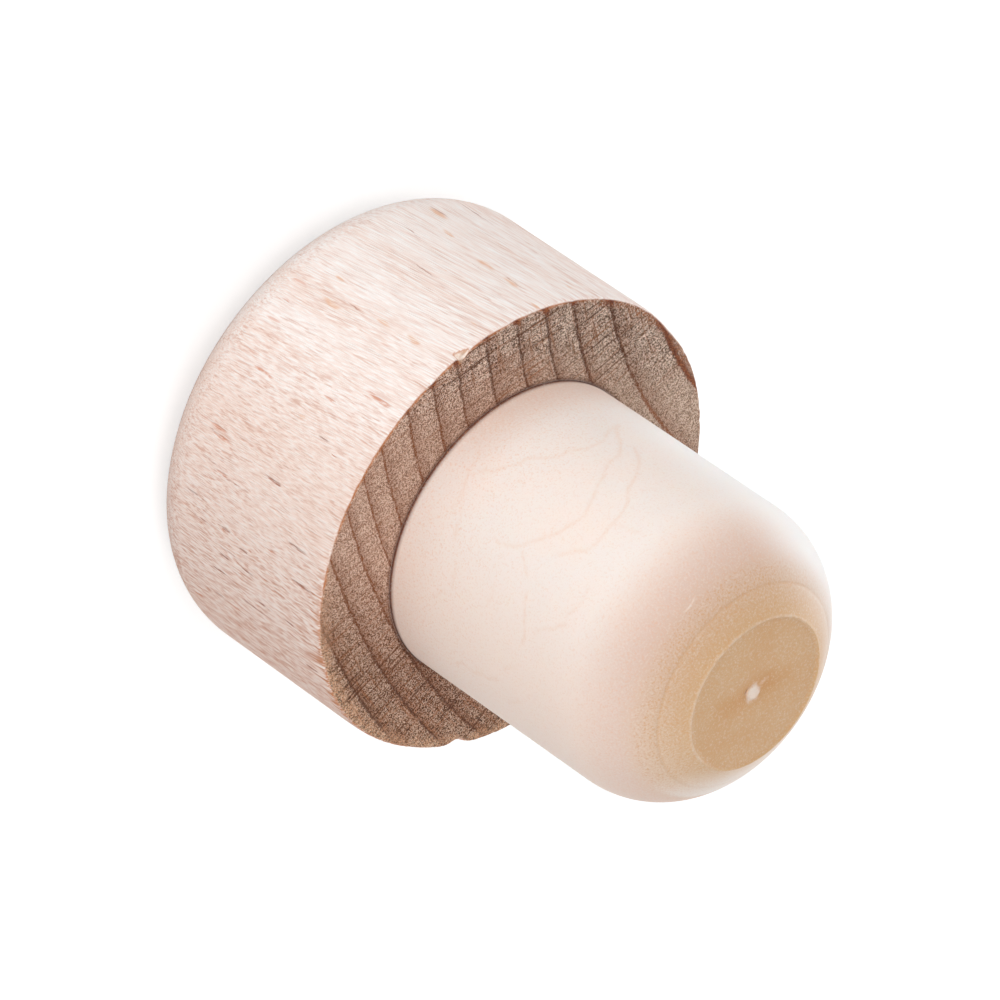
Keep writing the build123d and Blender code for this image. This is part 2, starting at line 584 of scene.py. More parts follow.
def fibre_spots(settings):
    """The long fibres as marks: angle about Z in degrees, height and half length in mm."""
    spots = []
    for start, stop in LONG_FIBRES:
        first = seen_on_side(settings, start)
        last = seen_on_side(settings, stop)
        middle = (first + last) / 2
        degrees = math.degrees(math.atan2(middle.y, middle.x))
        spots.append((degrees, middle.z / MM, (last - first).length / 2 / MM))
    return spots


class Beech(Shader):
    """Sanded beech: rings, rays and pores where fibres are cut, streaks and flecks along them."""

    def __init__(self, settings):
        super().__init__(bpy.data.materials.new("beech"))
        self.settings = settings
        self.spot = self.place()
        self.x, self.y, self.z = self.parts(self.spot)
        self.from_axis = (self.x * self.x + self.y * self.y) ** 0.5
        self.patchy = self.noise(self.spot, (1.1, 1.1, 0.15), 3, 0.65)
        self.wobble = self.noise(self.spot, (1.4, 1.4, 0.2), 3) - 0.5
        self.jitter = self.noise(self.spot, (6.0, 6.0, 0.6), 1) - 0.5
        self.speckle = self.noise(self.spot, (12.5, 12.5, 0.9), 1, 0.6)
        self.dust = self.noise(self.spot, (13.0, 13.0, 1.0), 0)
        self.brown = (self.x * 0.966 + self.y * 0.259).rise(2.5, 13.0)
        self.left = (self.x + self.patchy * 3.0).rise(-2.5, 6.5)
        self.far = self.x.rise(-12.0, -14.4)
        self.outer = (self.x * -0.85 + self.y * -0.5 - self.patchy * 1.5).rise(5.5, 11.0)
        self.coarse = self.outer.most(self.brown)
        self.calm = 1 - self.from_axis.rise(13.5, 10.5) * self.outer * 0.4
        self.find_rings()
        self.find_vessels()
        self.find_fibres()
        self.find_marks()

    def find_rings(self):
        """The year's rings about the pith: their late wood, and the line that ends each year."""
        drift = self.noise(self.spot, (0.12, 0.12, 0.03), 2) - 0.5
        ring_x = self.x - PITH[0] + drift * 0.5
        ring_y = self.y - PITH[1] + drift * 0.3
        turn = self.node("Math", {"operation": "ARCTAN2"}, (ring_y, ring_x))
        self.from_pith = (ring_x * ring_x + ring_y * ring_y) ** 0.5
        self.radial = self.vector(self.from_pith, turn * MEAN_RING_RADIUS, self.z)

        first = RING_RADII[0]
        span = RING_RADII[-1] - first
        years = len(RING_RADII) - 1
        stops = [((radius - first) / span, year / years) for year, radius in enumerate(RING_RADII)]
        across = (self.from_pith + self.wobble * 0.22 - first) / span
        years_gone = self.node("ValToRGB", {"stops": stops}, (across,)) * years
        self.late = years_gone.fraction().rise(0.5, 1.0)
        self.from_line = ((years_gone + self.jitter * 0.09 + 0.5).fraction() - 0.5).size()
        self.line = self.from_line.rise(0.06, 0.02) * self.patchy.rise(0.25, 0.45)

    def find_vessels(self):
        """Vessels, which are tubes along the fibres and dots where they are cut."""
        self.pores = self.cells(self.stretch(self.spot, (6.0, 6.0, 0.35))).rise(0.3, 0.12)
        self.large_pores = self.cells(self.stretch(self.spot, (2.3, 2.3, 0.3))).rise(0.16, 0.08)

    def find_fibres(self):
        """Fibres, which lean a little from the axis and meet the underside unmoved."""
        above = self.z - HEAD_HEIGHT / MM
        self.grained = self.vector(self.x + above * 0.078, self.y - above * 0.087, self.z)
        self.fibres = self.noise(self.grained, (13.0, 13.0, 0.6), 1)
        self.strands = self.noise(self.grained, (4.0, 4.0, 0.22), 2)

    def find_marks(self):
        """Marks on the side at their listed places, bent a little."""
        bent = self.noise(self.spot, (1.2, 1.2, 1.2), 3) - 0.5
        wavy = self.shift(self.spot, self.vector(bent * 0.3, bent * -0.3, bent * 0.5))
        side = HEAD_RADIUS / MM
        self.slits = self.marks(wavy, DARK_SLITS, side - 0.06, 9.0)
        self.flecks = self.marks(wavy, RED_FLECKS, side - 0.06, 7.0)
        long_fibres = fibre_spots(bpy.context.scene.stopper_stage)
        self.long_fibres = self.marks(wavy, long_fibres, side - 0.03, 20.0)
        self.blotches = self.marks(wavy, TAN_BLOTCHES, side - 0.06, 3.4)

    def cut_fibres(self):
        """Ground of the end grain: brown at one side, grey at the other, dark in late wood."""
        look = self.settings
        grey = (self.x * -0.95 + self.y * 0.1).rise(3.0, 11.0)
        light = self.speckle.rise(0.51, 0.43) * (0.56 + self.outer * 0.38) * self.calm
        return self.layered(
            look.end_grain,
            (self.brown, look.end_brown),
            (grey, look.end_grey),
            (light, look.end_light),
            (self.from_axis.rise(11.5, 14.5) * self.brown * 0.22, look.rim_cream),
            (self.dust.rise(0.5, 0.62) * (0.25 + self.brown * 0.25), look.late_wood),
            (self.late * (0.38 + self.brown * 0.2), look.late_wood),
        )

    def cut_vessels(self, end):
        """Fine rays and saw lines over the end grain, and the open vessels."""
        look = self.settings
        fine_rays = self.noise(self.radial, (0.3, 8.0, 1.0), 1).rise(0.54, 0.68)
        saw_lines = self.noise(self.radial, (7.0, 0.3, 1.0), 1).rise(0.55, 0.7)
        scratches = fine_rays.most(saw_lines * self.coarse) * (0.22 + self.coarse * 0.38)
        dots = self.speckle.rise(0.52, 0.6) * (0.54 + self.coarse * 0.38) * self.calm
        tubes = self.pores * (0.15 + self.coarse * 0.3) + self.large_pores * self.coarse * 0.7
        return self.layered(end, (scratches, look.ray_line), (dots, look.pore), (tubes, look.pore))

    def cut_rays(self, end):
        """Rays, which are thin sheets that run out from the pith, and the lines between years."""
        look = self.settings
        rays = self.spindles(self.radial, (5.0, 0.6, 4.0), (2.4, 0.07, 2.4))
        aside = self.shift(self.radial, (1.7, 4.3, 2.9))
        small_rays = self.spindles(aside, (2.6, 0.5, 2.0), (1.2, 0.05, 0.9))
        line_colour = self.mixed(self.coarse * 0.75, look.late_wood, look.pore)
        small_colour = self.mixed(self.brown, look.ray_line, line_colour)
        return self.layered(
            end,
            (rays * (0.28 + self.coarse * 0.57), line_colour),
            (small_rays * (0.3 + self.coarse * 0.4), small_colour),
            (self.line * (0.62 + self.speckle.rise(0.4, 0.55) * 0.33), line_colour),
            # Painted contact shade, partly glue stain: a thin dark band on the wood round the recess mouth.
            (self.from_axis.rise(9.94, 9.8) * 0.15, look.glue_stain_and_shade),
        )

    def frayed_rim(self, end):
        """Loose fibres at the brown side of the rim, and an orange-brown line along it."""
        look = self.settings
        frayed = (self.from_axis + self.patchy * 1.8 + self.dust * 0.8).rise(15.5, 16.2) * self.brown
        ragged = self.from_axis + self.speckle * 0.3 + self.patchy * 0.4
        burn = (ragged - self.brown * self.dust * 0.5).rise(15.3, 15.5)
        burn = burn * (1 - self.far.most(self.y.rise(2.0, 6.0)) * 0.8) * self.patchy.rise(0.28, 0.42)
        return self.layered(
            end,
            (frayed * 0.45, look.rim_cream),
            (frayed * self.dust.rise(0.5, 0.56) * 0.6, look.rim_burn),
            (frayed * self.speckle.rise(0.53, 0.6) * 0.75, look.pore),
            (burn * 0.9, look.rim_burn),
        )

    def stained_rim(self, end):
        """Dark red where late wood meets the rim, and along one year's line."""
        look = self.settings
        near_line = self.from_line.rise(0.2, 0.06).most(self.late * 0.25)
        near_rim = (self.from_axis + self.patchy * 1.2 + self.dust * 0.4).rise(15.35, 15.75)
        stain = near_rim * near_line.most(self.far * self.dust.rise(0.5, 0.58)) * self.outer.most(0.2)
        off_ring = self.from_pith + self.wobble * 0.4 + self.jitter * 0.3 - RING_RADII[1] + 0.05
        first_ring = off_ring.size().rise(0.24, 0.1) * self.x.rise(-7.0, -10.0)
        first_ring = first_ring * self.speckle.rise(0.64, 0.5)
        red = self.mixed(self.dust.rise(0.46, 0.62) * 0.6, look.rim_red, look.rim_burn)
        return self.mixed(stain.most(first_ring) * 0.9, end, red)

    def plain_side(self):
        """Ground of the side: warm bands under the palest raised fibres."""
        look = self.settings
        bands = self.noise(self.grained, (0.6, 0.6, 0.07), 3, 0.6)
        return self.layered(
            look.side_grain,
            (bands.rise(0.38, 0.7) * 0.5, look.side_warm),
            ((self.left * 0.7).most(self.brown * 0.95), look.side_warm),
            (self.fibres.rise(0.47, 0.38) * (0.62 - self.left * 0.27), look.side_light),
            (self.strands.rise(0.52, 0.66) * 0.18, look.side_warm),
        )

    def dark_fibres(self, side):
        """Dark fibres and longer threads, closer together where the wood is dense."""
        dense = self.noise(self.grained, (0.45, 0.45, 0.12), 2).rise(0.4, 0.62)
        gathered = self.strands.rise(0.42, 0.6) * 0.5 + 0.5
        dark = self.fibres.rise(0.54, 0.62) * gathered * (0.22 + dense * 0.12 + self.left * 0.14)
        dark = dark + self.fibres.rise(0.52, 0.6) * self.brown * 0.35
        threads = (self.noise(self.grained, (3.0, 3.0, 0.2), 2) - 0.5).size().rise(0.055, 0.015)
        threads = threads * self.strands.rise(0.45, 0.58) * (0.12 + dense * 0.16 + self.brown * 0.4)
        return self.layered(side, (dark, self.settings.side_dark), (threads, self.settings.side_dark))

    def side_marks(self, side):
        """Blotches, dashes, flecks and slits, and the scorched edge beside the rim."""
        look = self.settings
        streaky = self.fibres.rise(0.42, 0.56)
        dashes = self.spindles(self.grained, (1.4, 1.4, 2.6), (0.09, 0.09, 0.7))
        scorched = (self.z + self.fibres * 3.0 + self.strands * 2.0).rise(18.2, 18.7)
        return self.layered(
            side,
            (self.blotches * (0.3 + streaky * 0.5), look.blotch),
            (dashes * 0.42, look.ray_fleck),
            (self.long_fibres * (0.2 + streaky * 0.4), look.vessel_slit),
            (self.flecks * (0.3 + streaky * 0.5), look.ray_fleck),
            (self.slits * (0.25 + streaky * 0.4 + self.brown * 0.4), look.vessel_slit),
            (scorched * (self.brown * 0.75 + 0.12), look.rim_burn),
        )

    def material(self):
        """End grain where the surface looks up or down, side grain elsewhere, then the torn wedge."""
        look = self.settings
        end = self.cut_rays(self.cut_vessels(self.cut_fibres()))
        end = self.stained_rim(self.frayed_rim(end))
        side = self.side_marks(self.dark_fibres(self.plain_side()))
        facing = self.node("NewGeometry", output="Normal")
        cut = self.parts(facing)[2].size().rise(0.6, 0.9)
        worn = self.painted("worn")
        colour = self.layered(
            side,
            (cut, end),
            (worn.rise(0.1, 0.5) * 0.35, look.rim_cream),
            (worn.rise(0.02, 0.15) * worn.rise(0.7, 0.35) * 0.6, look.rim_burn),
        )
        relief = cut * (0.5 - self.speckle * 0.8 - self.pores * 0.6 - self.large_pores - self.line * 0.4)
        relief = relief + (1 - cut) * (0.5 - self.fibres * 0.9 - self.flecks * 0.4 - self.slits * 0.8)
        sockets = {
            "Base Color": colour,
            "Roughness": 0.72 + cut * 0.16,
            "Normal": self.bump(relief, 0.08 * MM, 0.8),
            "Specular IOR Level": 0.25,
        }
        return self.finished(self.node("BsdfPrincipled", None, sockets))


# Veins in the plug, each a run of points: angle about Z in degrees and height in mm
CLEAR_VEINS = (
    ((-143.7, 24.5), (-140.8, 25.4), (-137.5, 26.1), (-134.0, 26.6), (-131.6, 26.9), (-128.5, 27.2),
     (-125.1, 27.4), (-121.8, 28.1), (-118.3, 28.5), (-114.4, 28.7), (-110.8, 28.8), (-107.5, 28.8),
     (-104.2, 28.9), (-100.7, 28.9), (-97.7, 28.7), (-95.2, 28.1), (-92.5, 27.6), (-89.9, 27.0)),
    ((-150.6, 21.9), (-147.7, 22.3), (-145.3, 22.6), (-143.7, 23.1), (-141.8, 23.6), (-139.4, 24.1),
     (-135.9, 24.7), (-131.0, 24.8), (-127.1, 25.1), (-123.8, 25.6), (-120.2, 25.8), (-117.3, 26.1),
     (-114.4, 26.4), (-111.4, 26.6), (-107.5, 26.9), (-104.6, 26.8), (-101.6, 26.6), (-97.7, 26.4),
     (-94.8, 26.0), (-91.9, 25.6), (-89.9, 25.2), (-87.0, 24.8), (-85.0, 24.4), (-83.4, 23.7),
     (-82.7, 23.1), (-83.4, 22.7)),
    ((-150.6, 21.9), (-147.7, 22.1), (-143.7, 22.3), (-140.8, 22.6), (-137.5, 23.0), (-133.0, 23.0),
     (-130.0, 23.0), (-127.1, 22.7), (-124.2, 22.3), (-121.8, 22.4), (-119.3, 22.2), (-116.7, 21.8),
     (-114.8, 21.3), (-112.8, 20.9), (-109.5, 20.8), (-107.5, 20.5), (-105.2, 20.2), (-102.2, 19.8),
     (-100.7, 19.4), (-99.7, 19.1)),
    ((-105.6, 18.0), (-102.6, 18.3), (-97.7, 18.4), (-93.8, 18.7), (-90.9, 18.9), (-87.6, 19.3),
     (-85.0, 19.6), (-82.1, 19.8), (-78.2, 20.0), (-75.2, 20.2)),
    ((-73.3, 26.7), (-70.3, 26.9), (-66.4, 27.2), (-62.5, 27.5), (-59.6, 27.7), (-57.2, 27.6)),
    ((-72.3, 30.2), (-70.9, 29.8), (-68.4, 29.5), (-67.4, 29.2), (-66.4, 28.7), (-63.5, 28.3)),
    ((-36.5, 25.8), (-34.5, 25.3), (-33.1, 25.0), (-33.0, 24.2), (-31.2, 23.8), (-30.6, 23.3),
     (-31.8, 22.7), (-30.6, 22.3), (-28.2, 22.0)),
)
FAINT_VEINS = (
    ((-114.0, 30.8), (-112.4, 30.0), (-111.4, 29.2), (-110.5, 28.8)),
    ((-90.9, 18.9), (-87.0, 19.0), (-84.0, 18.9)),
    ((-84.6, 25.0), (-82.1, 25.5), (-79.1, 26.1)),
    ((-87.0, 30.4), (-84.0, 30.5), (-80.1, 30.4), (-77.2, 30.2), (-75.2, 30.0)),
    ((-69.3, 24.2), (-66.4, 24.4), (-62.5, 24.3)),
    ((-48.8, 27.7), (-46.8, 27.4), (-44.9, 26.8), (-42.9, 26.5)),
    ((-33.1, 27.7), (-31.2, 27.4), (-29.2, 26.9), (-27.3, 26.5)),
    ((-56.6, 20.7), (-55.6, 20.5), (-52.7, 20.2), (-51.3, 19.9)),
    ((-131.6, 28.6), (-129.6, 28.2), (-127.7, 28.2)),
    ((-68.4, 21.0), (-66.4, 21.1), (-62.5, 21.2), (-59.6, 21.3)),
)
FAINT_SHARE = 0.65
VEIN_HALF_WIDTH = 0.11


def near_route(around, up, route):
    """1 on a vein and less beside it, for places round the plug and up it in mm."""
    radius = PLUG_RADIUS / MM
    shade = numpy.zeros(len(up))
    for (first_angle, first_z), (last_angle, last_z) in zip(route, route[1:]):
        start = numpy.array((math.radians(first_angle) * radius, first_z))
        run = numpy.array((math.radians(last_angle) * radius, last_z)) - start
        share = ((around - start[0]) * run[0] + (up - start[1]) * run[1]) / run.dot(run)
        share = numpy.clip(share, 0, 1)
        apart = numpy.hypot(around - start[0] - share * run[0], up - start[1] - share * run[1])
        shade = numpy.maximum(shade, numpy.exp(-((apart / VEIN_HALF_WIDTH) ** 2)))
    return shade


def paint_veins(data):
    """Stores how near each vertex of the wall is to a vein. The far side mirrors the near one."""
    spots = numpy.empty(len(data.vertices) * 3)
    data.vertices.foreach_get("co", spots)
    spots = spots.reshape(-1, 3) / MM
    radius = PLUG_RADIUS / MM
    wall = numpy.hypot(spots[:, 0], spots[:, 1]) > radius * 0.8
    degrees = -numpy.abs(numpy.degrees(numpy.arctan2(spots[:, 1], spots[:, 0])))
    around = numpy.radians(degrees) * radius
    shade = numpy.zeros(len(spots))
    for routes, strength in ((CLEAR_VEINS, 1.0), (FAINT_VEINS, FAINT_SHARE)):
        for route in routes:
            shade = numpy.maximum(shade, strength * near_route(around, spots[:, 2], route))
    attribute = data.attributes.new("vein", "FLOAT", "POINT")
    attribute.data.foreach_set("value", shade * wall)


class Elastomer(Shader):
    """Matt moulded elastomer: cream clouds, tan veins, a denser tip and a torn gate."""

    def __init__(self, settings, flat_radius, band_outer_radius):
        super().__init__(bpy.data.materials.new("elastomer"))
        place = self.place()
        self.settings = settings
        self.x, self.y, self.z = self.parts(place)
        self.radius = (self.x * self.x + self.y * self.y) ** 0.5
        self.tip_z = (BEAD_TOP_Z - settings.bead_height) / MM
        self.flat = flat_radius / MM
        self.ring = band_outer_radius / MM
        self.clouds = self.noise(place, (0.22, 0.22, 0.22), 3, 0.6)
        self.broken = self.noise(place, (1.3, 1.3, 1.3), 3, 0.7).rise(0.32, 0.6)
        self.grain = self.noise(place, (8.0, 8.0, 8.0), 2, 0.7)
        self.bend = self.z.rise(self.tip_z - 6.5, self.tip_z - 2.0)
        self.tip = self.z.rise(self.tip_z - 2.8, self.tip_z + 0.5)
        self.on_tip = self.z.rise(self.tip_z - 2, self.tip_z - 1.5)
        self.inside = self.radius.rise(self.ring + 0.05, self.ring - 0.1) * self.on_tip
        self.core = self.radius.rise(self.flat + 0.1, self.flat - 0.2) * self.on_tip
        self.facing = self.y.rise(2.0, -1.0)

    def wall(self):
        """The plug's side: cream with warmer clouds, pinker painted shade near the wood, a dark foot of
        dust and painted contact shade, and the veins.
        """
        look = self.settings
        shaded_side = (self.x * -0.866 + self.y * -0.5).rise(4.0, 9.5)
        # Dark band just above the wood: partly dust and partly painted contact shade.
        foot = self.z.rise(16.68, 16.25) * 0.7 + self.z.rise(16.44, 16.34) * 0.3
        veins = self.painted("vein") * (0.3 + self.broken * 0.7)
        return self.layered(
            look.cream,
            ((self.clouds.rise(0.35, 0.7) * 0.5).most(self.x.rise(0.0, 8.0)), look.blush),
            # Painted shade: pinker and darker just above the wood, strongest on one side.
            (self.z.rise(20.5, 16.6) * (0.15 + shaded_side * 0.5), look.bend_rose_and_shade),
            (foot, look.foot_dust_and_shade),
            (veins * 0.22, look.vein),
        )

    def denser_tip(self, colour):
        """Pinker bend and tan tip, with a brown smear on the flat."""
        look = self.settings
        off_smear = self.x * 0.608 + self.y * 0.794 + (self.clouds - 0.5) * 2.5
        smear = off_smear.size().rise(1.5, 0.1) * self.radius.rise(4.6, 0.8)
        brown = (smear * 0.6 + self.clouds.rise(0.4, 0.65) * 0.25) * self.core
        tan_side = self.x.rise(1.5, 7.5) * self.z.rise(self.tip_z - 2.6, self.tip_z - 0.8)
        return self.layered(
            colour,
            (self.bend * (1 - self.x.rise(0.0, 8.0) * 0.3), look.bend_rose_and_shade),
            (self.tip * 0.95 + self.inside * 0.05, look.tip_tan),
            (brown, look.tip_brown),
            (tan_side * (1 - self.core) * 0.25, look.tip_pale),
        )

    def speckled(self, colour):
        """Fine grain of the skin, and painted highlights paling the back-lit wall and the tip's far side.
        """
        look = self.settings
        near_wood = self.z.rise(27.0, 18.0)
        # Painted highlight: the wall pales on the back-lit side and the tip pales on the side away from the
        # camera.
        painted_highlight = (self.x * -0.8 + self.y * 0.6).rise(2.0, 7.5) * self.z.rise(17.0, 25.0)
        tip_rim_highlight = (self.x * 0.6 + self.y * 0.8).rise(3.0, 7.5) * self.on_tip * (1 - self.core)
        return self.layered(
            colour,
            (self.grain.rise(0.5, 0.72) * (0.22 + self.bend * 0.2 + near_wood * 0.2), look.vein),
            (self.grain.rise(0.5, 0.3) * (0.13 + self.bend * 0.1 + near_wood * 0.2), look.stress_white_and_highlight),
            (self.grain.rise(0.5, 0.68) * self.on_tip * 0.4, look.tip_brown),
            # The two painted highlights are laid over the colour here.
            (painted_highlight * (0.95 - self.tip), look.painted_highlight),
            (tip_rim_highlight * 0.6, look.painted_highlight),
        )

    def mould_marks(self, colour):
        """Seam, line of flash that is whitened on one half partly as a painted highlight, torn gate with
        its trail, and a nick in the band.
        """
        look = self.settings
        seam = (self.radius - self.ring + 0.07).size().rise(0.12, 0.03) * self.on_tip
        # Line of flash whitened only on the half towards the key lamp: partly stress white, partly painted
        # highlight.
        flash = (self.radius - self.flat + 0.12).size().rise(0.15, 0.03) * self.on_tip
        flash = flash * (0.25 + self.broken * 0.75) * self.facing
        gate = (self.radius + (self.broken - 0.5) * 0.25).rise(0.8, 0.25)
        off_trail = (self.x * 0.22 + self.y * 0.98).size()
        trail = (self.x * -0.9 + self.y * 0.2).rise(0.2, 0.9) * off_trail.rise(0.25, 0.0)
        trail = trail * self.radius.rise(1.6, 0.6)
        around = self.x * 0.966 - self.y * 0.259
        nick = (self.z - 35.6 - around * 0.1 + around * around * 0.25).size().rise(0.06, 0.02)
        nick = nick * around.size().rise(0.75, 0.3) * self.facing * (0.3 + self.broken * 0.7)
        pale = (flash * 0.28).most(gate * 0.75).most(trail * 0.3).most(nick * 0.5)
        seam_share = seam * (0.05 + self.facing * 0.12)
        return self.layered(colour, (seam_share, look.tip_brown), (pale, look.stress_white_and_highlight))

    def material(self):
        sockets = {
            "Base Color": self.mould_marks(self.speckled(self.denser_tip(self.wall()))),
            "Roughness": 0.62 - self.inside * 0.1,
            "Normal": self.bump(self.grain * 0.7 + self.clouds * 0.5, 0.04 * MM, 0.6),
            "Specular IOR Level": 0.2,
            "Subsurface Weight": 0.15,
            "Subsurface Radius": (1.0, 0.6, 0.4),
            "Subsurface Scale": 1.2 * MM,
            "Sheen Weight": 0.1,
            "Sheen Roughness": 0.4,
        }
        return self.finished(self.node("BsdfPrincipled", None, sockets))


class StopperTurnHead(bpy.types.Operator):
    """Turn the beech head with its recess and worn rim"""

    bl_idname = "stopper.turn_head"
    bl_label = "Turn Head"

    def execute(self, context):
        settings = context.scene.stopper_head
        recess_radius = PLUG_RADIUS + settings.recess_gap
        edge = settings.edge_radius
        rim = settings.rim_break
        profile = Profile(0, 0)
        profile.line(HEAD_RADIUS - edge, 0, pieces=8)
        profile.arc(HEAD_RADIUS - edge, edge, 90, steps=18)
        profile.line(HEAD_RADIUS, HEAD_HEIGHT - 2 * MM, pieces=26)
        profile.line(HEAD_RADIUS, HEAD_HEIGHT - rim, pieces=14)
        profile.arc(HEAD_RADIUS - rim, HEAD_HEIGHT - rim, 90, steps=4)
        profile.line(HEAD_RADIUS - 1.4 * MM, HEAD_HEIGHT, pieces=10)
        profile.line(recess_radius, HEAD_HEIGHT, pieces=12)
        profile.line(recess_radius, SEAT_Z, pieces=4)
        profile.line(0, SEAT_Z, pieces=3)
        mesh = profile.turned(settings.steps)
        wear_head(mesh, settings)
        add_piece("beech_head", mesh, Beech(settings).material(), "wooden_head")
        return {"FINISHED"}


def tear_gate(mesh, settings, floor_z):
    """Makes the stub of the gate oval and uneven, as it is after being torn off."""
    for vertex in mesh.verts:
        radius = math.hypot(vertex.co.x, vertex.co.y)
        if radius > settings.nub_radius * 1.3 or vertex.co.z < floor_z - 0.05 * MM:
            continue
        share = bell(radius, settings.nub_radius * 1.2)
        rough = noise.fractal(vertex.co / MM * 1.6, 0.8, 2.0, 2)
        vertex.co.x *= 1 + share * (0.1 + 0.5 * rough)
        vertex.co.y *= 1 + share * (0.6 + 0.5 * rough)
        if vertex.co.z > floor_z + settings.nub_height / 2:
            vertex.co.z += settings.nub_height * (0.35 * rough - 0.15)


class StopperMouldPlug(bpy.types.Operator):
    """Mould the plug with its glue grooves, sloped band, line of flash and gate"""

    bl_idname = "stopper.mould_plug"
    bl_label = "Mould Plug"

    def execute(self, context):
        settings = context.scene.stopper_plug
        tip_z = BEAD_TOP_Z - settings.bead_height
        sweep = math.pi / 2 - settings.band_angle
        band_outer_radius = PLUG_RADIUS - settings.arc_radius * (1 - math.cos(sweep))
        flat_radius = band_outer_radius - settings.band_width
        band_height = settings.band_width * math.tan(settings.band_angle)
        straight_end_z = tip_z - band_height - settings.arc_radius * math.sin(sweep)
        bead = settings.bead_width

        profile = Profile(0, SEAT_Z)
        profile.line(PLUG_RADIUS - settings.end_chamfer, SEAT_Z, pieces=4)
        profile.line(PLUG_RADIUS, SEAT_Z + settings.end_chamfer)
        for groove in (1, 0):
            mouth_z = HEAD_HEIGHT - groove * settings.groove_pitch
            profile.line(PLUG_RADIUS, mouth_z - settings.groove_width)
            profile.line(PLUG_RADIUS - settings.groove_depth, mouth_z - settings.groove_width / 2)
            profile.line(PLUG_RADIUS, mouth_z)
        profile.line(PLUG_RADIUS, straight_end_z, pieces=115)
        profile.arc(PLUG_RADIUS - settings.arc_radius, straight_end_z, math.degrees(sweep), steps=26)
        along = Vector((-math.cos(settings.band_angle), math.sin(settings.band_angle)))
        seam = profile.end.co.xz + along * settings.seam_width / 2
        profile.line(seam.x - along.y * settings.seam_depth, seam.y + along.x * settings.seam_depth)
        profile.line(seam.x + along.x * settings.seam_width / 2, seam.y + along.y * settings.seam_width / 2)
        profile.line(flat_radius, tip_z, pieces=8)
        profile.line(flat_radius - bead * 0.35, BEAD_TOP_Z)
        profile.line(flat_radius - bead * 0.65, BEAD_TOP_Z)
        profile.line(flat_radius - bead, tip_z)
        profile.line(settings.dimple_radius, tip_z, pieces=12)
        dish = (settings.dimple_radius**2 + settings.dimple_depth**2) / (2 * settings.dimple_depth)
        dish_centre_z = tip_z - settings.dimple_depth + dish
        start = math.asin(settings.dimple_radius / dish)
        stop = math.asin(settings.nub_radius / dish)
        profile.arc(0, dish_centre_z, math.degrees(stop - start), steps=6)
        nub_top_z = tip_z - settings.dimple_depth + settings.nub_height
        profile.line(settings.nub_radius * 0.85, nub_top_z, pieces=3)
        profile.line(0, nub_top_z, pieces=4)
        mesh = profile.turned(settings.steps)
        tear_gate(mesh, settings, tip_z - settings.dimple_depth)
        material = Elastomer(settings, flat_radius, band_outer_radius).material()
        piece = add_piece("elastomer_plug", mesh, material, "stopper_shank")
        paint_veins(piece.data)
        return {"FINISHED"}


def aimed(location, target):
    """Matrix of a lamp at a place, pointing at a target."""
    turn = (Vector(target) - Vector(location)).to_track_quat("-Z", "Y")
    return Matrix.Translation(location) @ turn.to_matrix().to_4x4()


def add_soft_lamp(name, direction, distance, size, power):
    """Round area lamp that looks at the middle of the stopper."""
    middle = (CAD_BOX[0] + CAD_BOX[1]) / 2
    lamp = bpy.data.lights.new(name, "AREA")
    lamp.shape = "DISK"
    lamp.size = size
    lamp.energy = power
    holder = bpy.data.objects.new(name, lamp)
    bpy.context.scene.collection.objects.link(holder)
    holder.matrix_world = aimed(middle + Vector(direction).normalized() * distance, middle)


# Lamps: name, direction from the stopper's middle, distance and width in metres
LAMPS = (
    ("key", (-0.17, -0.93, 0.3), 0.5, 0.36),
    ("fill", (0.7, 0.42, 0.57), 0.5, 0.36),
    ("back", (-0.6, 0.78, 0.14), 0.5, 0.36),
    ("top", (0.1, -0.3, 1.0), 0.6, 0.4),
)
FLOOR_RADIUS = 3.0


def seen_directly(shader):
    """1 for rays that show the background itself: from the camera, mirrored or let through."""
    path = shader.node("LightPath").socket.node
    names = ("Is Camera Ray", "Is Glossy Ray", "Is Transmission Ray")
    camera, glossy, through = (Term(shader, path.outputs[name]) for name in names)
    return camera.most(glossy).most(through)


def pale_floor(settings):
    """Matt floor that keeps a soft shadow and is lifted to white where it is seen."""
    shader = Shader(bpy.data.materials.new("pale_floor"))
    mottle = shader.noise(shader.place(), (0.05, 0.05, 0.05), 2)
    colour = shader.mixed(mottle * 0.1, settings.floor_colour, settings.floor_mottle)
    matt = shader.node("BsdfDiffuse", None, {"Color": colour})
    strength = seen_directly(shader) * settings.floor_glow
    glow = shader.node("Emission", None, {"Color": (1, 1, 1), "Strength": strength})
    return shader.finished(shader.node("AddShader", None, (matt, glow)))


def light_world(level):
    """Even white light, and a white background where it is seen."""
    world = bpy.data.worlds.new("studio")
    bpy.context.scene.world = world
    shader = Shader(world)
    strength = seen_directly(shader) * (1 - level) + level
    background = shader.node("Background", None, {"Color": (1, 1, 1), "Strength": strength})
    shader.finished(background, "OutputWorld")


def add_camera(settings):
    """Long lens above the stopper, rolled so that the plug points down to the right."""
    place, right, up, back = camera_frame(settings)
    lens = bpy.data.cameras.new("camera")
    lens.sensor_width = SENSOR_WIDTH
    lens.lens = settings.lens
    lens.clip_start = 0.01
    lens.clip_end = 10.0
    camera = bpy.data.objects.new("camera", lens)
    bpy.context.scene.collection.objects.link(camera)
    camera.matrix_world = Matrix.Translation(place) @ Matrix((right, up, back)).transposed().to_4x4()
    bpy.context.scene.camera = camera


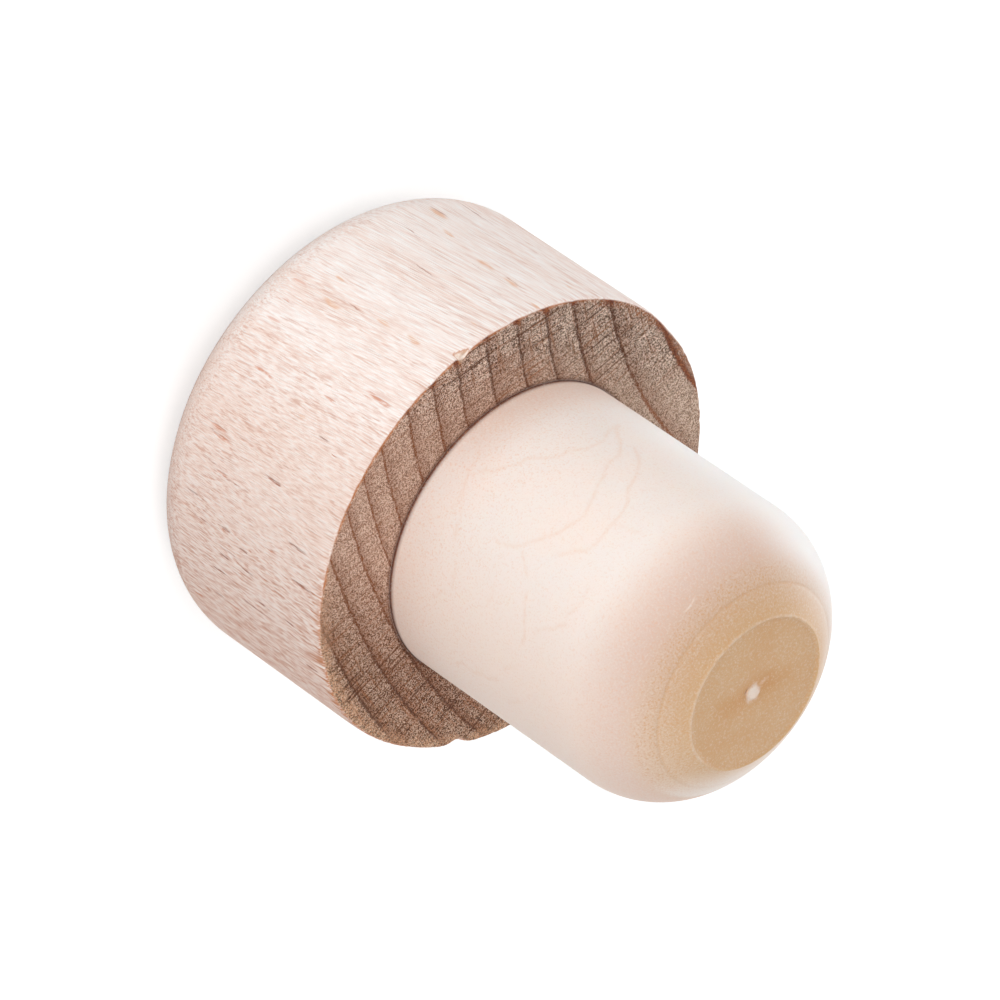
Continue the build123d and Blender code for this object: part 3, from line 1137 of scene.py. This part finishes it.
class StopperSetStage(bpy.types.Operator):
    """Lay the pale floor, hang the soft lamps and set the camera"""

    bl_idname = "stopper.set_stage"
    bl_label = "Set Stage"

    def execute(self, context):
        settings = context.scene.stopper_stage
        mesh = bmesh.new()
        bmesh.ops.create_circle(mesh, cap_ends=True, radius=FLOOR_RADIUS, segments=64)
        data = bpy.data.meshes.new("floor")
        mesh.to_mesh(data)
        mesh.free()
        data.materials.append(pale_floor(settings))
        floor = bpy.data.objects.new("floor", data)
        context.scene.collection.objects.link(floor)
        light_world(settings.world_level)
        for name, direction, distance, size in LAMPS:
            add_soft_lamp(name, direction, distance, size, getattr(settings, name + "_power"))
        add_camera(settings)
        context.scene.view_settings.view_transform = "Standard"
        return {"FINISHED"}


class StopperPanel(bpy.types.Panel):
    """The stopper's pieces and stage, in the sidebar."""

    bl_idname = "VIEW3D_PT_stopper"
    bl_label = "Stopper"
    bl_space_type = "VIEW_3D"
    bl_region_type = "UI"
    bl_category = "Stopper"

    def draw(self, context):
        groups = (
            ("stopper_head", StopperTurnHead),
            ("stopper_plug", StopperMouldPlug),
            ("stopper_stage", StopperSetStage),
        )
        for group, operator in groups:
            box = self.layout.box()
            settings = getattr(context.scene, group)
            for name in settings.bl_rna.properties.keys():
                if name not in ("rna_type", "name"):
                    box.prop(settings, name)
            box.operator(operator.bl_idname)


CLASSES = (
    StopperHeadSettings,
    StopperPlugSettings,
    StopperStageSettings,
    StopperTurnHead,
    StopperMouldPlug,
    StopperSetStage,
    StopperPanel,
)


def register():
    for known in CLASSES:
        bpy.utils.register_class(known)
    bpy.types.Scene.stopper_head = PointerProperty(type=StopperHeadSettings)
    bpy.types.Scene.stopper_plug = PointerProperty(type=StopperPlugSettings)
    bpy.types.Scene.stopper_stage = PointerProperty(type=StopperStageSettings)


def unregister():
    del bpy.types.Scene.stopper_head
    del bpy.types.Scene.stopper_plug
    del bpy.types.Scene.stopper_stage
    for known in reversed(CLASSES):
        bpy.utils.unregister_class(known)


def main():
    register()
    bpy.ops.stopper.turn_head()
    bpy.ops.stopper.mould_plug()
    bpy.ops.stopper.set_stage()


if __name__ == "__main__":
    main()
